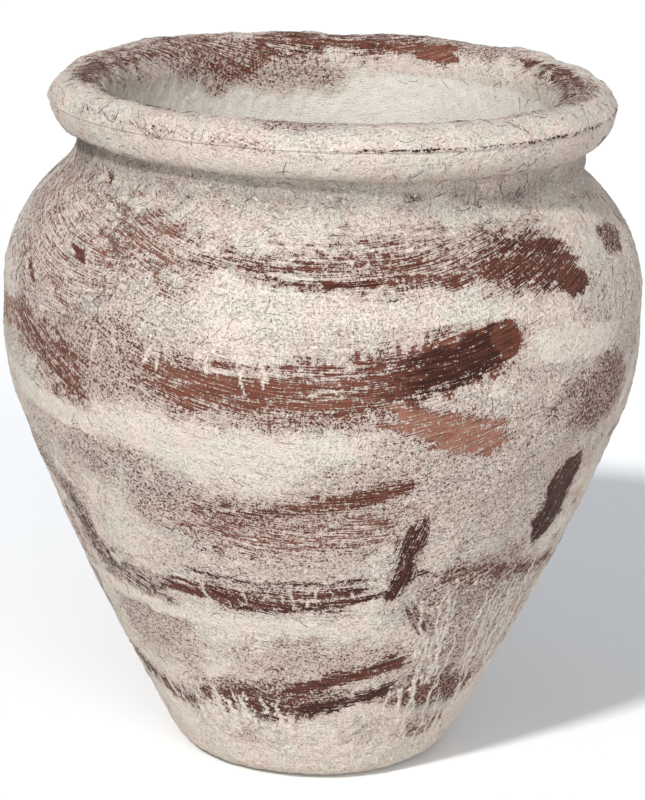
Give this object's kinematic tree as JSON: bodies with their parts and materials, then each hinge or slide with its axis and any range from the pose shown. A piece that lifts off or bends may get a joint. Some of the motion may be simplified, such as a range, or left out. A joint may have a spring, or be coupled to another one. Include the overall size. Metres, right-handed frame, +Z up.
{
  "type": "greek pithos",
  "caption": "Wide-mouthed clay storage jar with a high full belly, drawn-in neck and heavy rolled rim, built up in bedded courses on a base disc, in distressed cream paint over brown.",
  "frame": {"origin": "middle of the flat underside, on the ground", "axes": "+Z up along the jar's axis; -Y towards the side that faces the camera"},
  "size_m": [0.6, 0.6, 0.65],
  "materials": {
    "painted_clay": "rough fired clay, matt cream paint dry-brushed and wiped over a red-brown ground"
  },
  "bodies": {
    "root": {"base_disc": "painted_clay", "wall_course_1": "painted_clay", "wall_course_2": "painted_clay", "wall_course_3": "painted_clay", "belly_course": "painted_clay", "shoulder_course": "painted_clay", "neck_ring": "painted_clay", "rim_coil": "painted_clay"}
  },
  "joints": []
}
